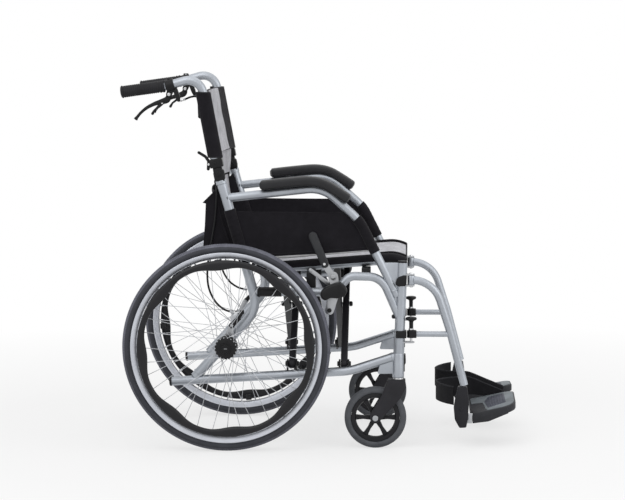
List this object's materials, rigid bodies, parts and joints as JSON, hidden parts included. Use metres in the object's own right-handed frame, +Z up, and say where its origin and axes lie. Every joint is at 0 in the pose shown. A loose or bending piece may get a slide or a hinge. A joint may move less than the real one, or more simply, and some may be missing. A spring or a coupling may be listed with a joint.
{
  "type": "lightweight wheelchair",
  "caption": "Folding lightweight wheelchair with self-propelling rear wheels, front castors, swing-away footrests, half-folding back and attendant drum brakes.",
  "frame": {"origin": "on the floor, under the middle of the unfolded chair's box", "axes": "+X forward along the seat, +Y to the chair's left, +Z up"},
  "size_m": [0.9688, 0.59, 0.9125],
  "materials": {
    "silver_tube": "satin silver",
    "rim_alloy": "satin",
    "hub_steel": "bright",
    "grey_tyre": "matt",
    "black_handrim": "satin",
    "dark_castor": "matt",
    "brake_metal": "satin black",
    "cable_sheath": "satin",
    "parking_steel": "zinc plated",
    "grey_plastic": "fine grain",
    "black_plastic": "satin",
    "armrest_pu": "soft skinned foam",
    "grip_rubber": "matt",
    "black_cloth": "woven nylon",
    "grey_cloth": "woven",
    "dark_channel": "satin dark grey"
  },
  "bodies": {
    "left_side": {"side_frame_left": "silver_tube", "brake_plate_left": "brake_metal", "brake_cable_left": "cable_sheath", "armrest_pad_left": "armrest_pu", "side_panel_left": "black_cloth", "parking_bracket_left": "parking_steel", "back_flap": "black_cloth"},
    "wheel_left": {"rear_tyre_left": "grey_tyre", "rear_rim_left": "rim_alloy", "rear_hub_left": "hub_steel", "handrim_left": "black_handrim"},
    "castor_left": {"castor_fork_left": "dark_castor"},
    "castor_wheel_left": {"castor_rim_left": "dark_castor", "castor_tyre_left": "grey_tyre"},
    "footrest_left": {"hanger_left": "silver_tube", "foot_socket_left": "grey_plastic", "heel_loop_left": "black_cloth"},
    "knob_left": {"hanger_knob_left": "black_plastic"},
    "plate_left": {"footplate_left": "grey_plastic"},
    "back_left": {"back_post_left": "silver_tube", "grip_left": "grip_rubber", "lever_bracket_left": "brake_metal", "back_sling": "grey_cloth"},
    "latch_left": {"back_latch_left": "brake_metal"},
    "lever_left": {"brake_lever_left": "brake_metal"},
    "lock_left": {"brake_lock_left": "brake_metal"},
    "arm_left": {"brake_arm_left": "brake_metal"},
    "parking_left": {"parking_lever_left": "grey_plastic"},
    "shoe_left": {"parking_shoe_left": "brake_metal"},
    "right_side": {"side_frame_right": "silver_tube", "brake_plate_right": "brake_metal", "brake_cable_right": "cable_sheath", "armrest_pad_right": "armrest_pu", "side_panel_right": "black_cloth", "parking_bracket_right": "parking_steel"},
    "wheel_right": {"rear_tyre_right": "grey_tyre", "rear_rim_right": "rim_alloy", "rear_hub_right": "hub_steel", "handrim_right": "black_handrim"},
    "castor_right": {"castor_fork_right": "dark_castor"},
    "castor_wheel_right": {"castor_rim_right": "dark_castor", "castor_tyre_right": "grey_tyre"},
    "footrest_right": {"hanger_right": "silver_tube", "foot_socket_right": "grey_plastic", "heel_loop_right": "black_cloth"},
    "knob_right": {"hanger_knob_right": "black_plastic"},
    "plate_right": {"footplate_right": "grey_plastic"},
    "back_right": {"back_post_right": "silver_tube", "grip_right": "grip_rubber", "lever_bracket_right": "brake_metal"},
    "latch_right": {"back_latch_right": "brake_metal"},
    "lever_right": {"brake_lever_right": "brake_metal"},
    "lock_right": {"brake_lock_right": "brake_metal"},
    "arm_right": {"brake_arm_right": "brake_metal"},
    "parking_right": {"parking_lever_right": "grey_plastic"},
    "shoe_right": {"parking_shoe_right": "brake_metal"},
    "brace_a": {"brace_a": "silver_tube", "seat_sling": "grey_cloth"},
    "brace_b": {"brace_b": "dark_channel"}
  },
  "joints": [
    {"name": "frame_fold", "type": "hinge", "parent": "left_side", "child": "brace_a", "pos_m": [-0.08809, 0.195, 0.205], "axis": [-1, 0, 0], "range_deg": [0, 42], "deforming": ["seat_sling", "back_sling", "back_flap"]},
    {"name": "brace_scissor", "type": "hinge", "parent": "brace_a", "child": "brace_b", "pos_m": [-0.08809, 0, 0.33], "axis": [-1, 0, 0], "range_deg": [-84, 0]},
    {"name": "right_side_swing", "type": "hinge", "parent": "brace_b", "child": "right_side", "pos_m": [-0.08809, -0.195, 0.205], "axis": [-1, 0, 0], "range_deg": [0, 42]},
    {"name": "wheel_roll_left", "type": "hinge", "parent": "left_side", "child": "wheel_left", "pos_m": [-0.22549, 0.265, 0.254], "axis": [0, 1, 0], "continuous": true},
    {"name": "castor_swivel_left", "type": "hinge", "parent": "left_side", "child": "castor_left", "pos_m": [0.19331, 0.215, 0.15], "axis": [0, 0, 1], "continuous": true},
    {"name": "castor_roll_left", "type": "hinge", "parent": "castor_left", "child": "castor_wheel_left", "pos_m": [0.13751, 0.215, 0.076], "axis": [0, 1, 0], "continuous": true},
    {"name": "footrest_swing_left", "type": "hinge", "parent": "left_side", "child": "footrest_left", "pos_m": [0.22501, 0.215, 0.415], "axis": [0, 0, 1], "range_deg": [0, 90]},
    {"name": "knob_lift_left", "type": "slide", "parent": "footrest_left", "child": "knob_left", "axis": [0, 0, 1], "range_m": [0, 0.008], "stiffness_N_per_m": 400, "springref_m": -0.004},
    {"name": "footplate_flip_left", "type": "hinge", "parent": "footrest_left", "child": "plate_left", "pos_m": [0.37101, 0.19, 0.078], "axis": [-1, 0, 0], "range_deg": [0, 90], "deforming": ["heel_loop_left"]},
    {"name": "back_fold_left", "type": "hinge", "parent": "left_side", "child": "back_left", "pos_m": [-0.24549, 0.215, 0.675], "axis": [0, -1, 0], "range_deg": [0, 95], "deforming": ["brake_cable_left"]},
    {"name": "back_latch_left", "type": "hinge", "parent": "back_left", "child": "latch_left", "pos_m": [-0.26899, 0.215, 0.698], "axis": [0, -1, 0], "range_deg": [0, 15], "stiffness_Nm_per_rad": 0.3, "springref_deg": -5.73},
    {"name": "brake_squeeze_left", "type": "hinge", "parent": "back_left", "child": "lever_left", "pos_m": [-0.36489, 0.215, 0.8688], "axis": [0, 1, 0], "range_deg": [0, 20], "stiffness_Nm_per_rad": 0.8, "springref_deg": -5.73},
    {"name": "brake_lock_turn_left", "type": "hinge", "parent": "lever_left", "child": "lock_left", "pos_m": [-0.38149, 0.2205, 0.847], "axis": [0, 1, 0], "range_deg": [0, 20]},
    {"name": "brake_arm_pull_left", "type": "hinge", "parent": "left_side", "child": "arm_left", "pos_m": [-0.21349, 0.2388, 0.305], "axis": [0, -1, 0], "range_deg": [0, 12]},
    {"name": "parking_brake_left", "type": "hinge", "parent": "left_side", "child": "parking_left", "pos_m": [0.03451, 0.234, 0.425], "axis": [0, 1, 0], "range_deg": [0, 45]},
    {"name": "parking_shoe_push_left", "type": "hinge", "parent": "left_side", "child": "shoe_left", "pos_m": [0.02551, 0.234, 0.342], "axis": [0, -1, 0], "range_deg": [0, 11]},
    {"name": "wheel_roll_right", "type": "hinge", "parent": "right_side", "child": "wheel_right", "pos_m": [-0.22549, -0.265, 0.254], "axis": [0, 1, 0], "continuous": true},
    {"name": "castor_swivel_right", "type": "hinge", "parent": "right_side", "child": "castor_right", "pos_m": [0.19331, -0.215, 0.15], "axis": [0, 0, 1], "continuous": true},
    {"name": "castor_roll_right", "type": "hinge", "parent": "castor_right", "child": "castor_wheel_right", "pos_m": [0.13751, -0.215, 0.076], "axis": [0, 1, 0], "continuous": true},
    {"name": "footrest_swing_right", "type": "hinge", "parent": "right_side", "child": "footrest_right", "pos_m": [0.22501, -0.215, 0.415], "axis": [0, 0, -1], "range_deg": [0, 90]},
    {"name": "knob_lift_right", "type": "slide", "parent": "footrest_right", "child": "knob_right", "axis": [0, 0, 1], "range_m": [0, 0.008], "stiffness_N_per_m": 400, "springref_m": -0.004},
    {"name": "footplate_flip_right", "type": "hinge", "parent": "footrest_right", "child": "plate_right", "pos_m": [0.37101, -0.19, 0.078], "axis": [1, 0, 0], "range_deg": [0, 90], "deforming": ["heel_loop_right"]},
    {"name": "back_fold_right", "type": "hinge", "parent": "right_side", "child": "back_right", "pos_m": [-0.24549, -0.215, 0.675], "axis": [0, -1, 0], "range_deg": [0, 95], "deforming": ["brake_cable_right"]},
    {"name": "back_latch_right", "type": "hinge", "parent": "back_right", "child": "latch_right", "pos_m": [-0.26899, -0.215, 0.698], "axis": [0, -1, 0], "range_deg": [0, 15], "stiffness_Nm_per_rad": 0.3, "springref_deg": -5.73},
    {"name": "brake_squeeze_right", "type": "hinge", "parent": "back_right", "child": "lever_right", "pos_m": [-0.36489, -0.215, 0.8688], "axis": [0, 1, 0], "range_deg": [0, 20], "stiffness_Nm_per_rad": 0.8, "springref_deg": -5.73},
    {"name": "brake_lock_turn_right", "type": "hinge", "parent": "lever_right", "child": "lock_right", "pos_m": [-0.38149, -0.2205, 0.847], "axis": [0, 1, 0], "range_deg": [0, 20]},
    {"name": "brake_arm_pull_right", "type": "hinge", "parent": "right_side", "child": "arm_right", "pos_m": [-0.21349, -0.2388, 0.305], "axis": [0, -1, 0], "range_deg": [0, 12]},
    {"name": "parking_brake_right", "type": "hinge", "parent": "right_side", "child": "parking_right", "pos_m": [0.03451, -0.234, 0.425], "axis": [0, 1, 0], "range_deg": [0, 45]},
    {"name": "parking_shoe_push_right", "type": "hinge", "parent": "right_side", "child": "shoe_right", "pos_m": [0.02551, -0.234, 0.342], "axis": [0, -1, 0], "range_deg": [0, 11]}
  ],
  "couplings": [
    {"joint": "brace_scissor", "follows": "frame_fold", "ratio": -2},
    {"joint": "right_side_swing", "follows": "frame_fold", "ratio": 1},
    {"joint": "footplate_flip_left", "follows": "frame_fold", "ratio": 2.1429},
    {"joint": "brake_arm_pull_left", "follows": "brake_squeeze_left", "ratio": 0.6},
    {"joint": "parking_shoe_push_left", "follows": "parking_brake_left", "ratio": 0.24444},
    {"joint": "footplate_flip_right", "follows": "frame_fold", "ratio": 2.1429},
    {"joint": "brake_arm_pull_right", "follows": "brake_squeeze_right", "ratio": 0.6},
    {"joint": "parking_shoe_push_right", "follows": "parking_brake_right", "ratio": 0.24444},
    {"joint": "back_fold_right", "follows": "back_fold_left", "ratio": 1}
  ]
}
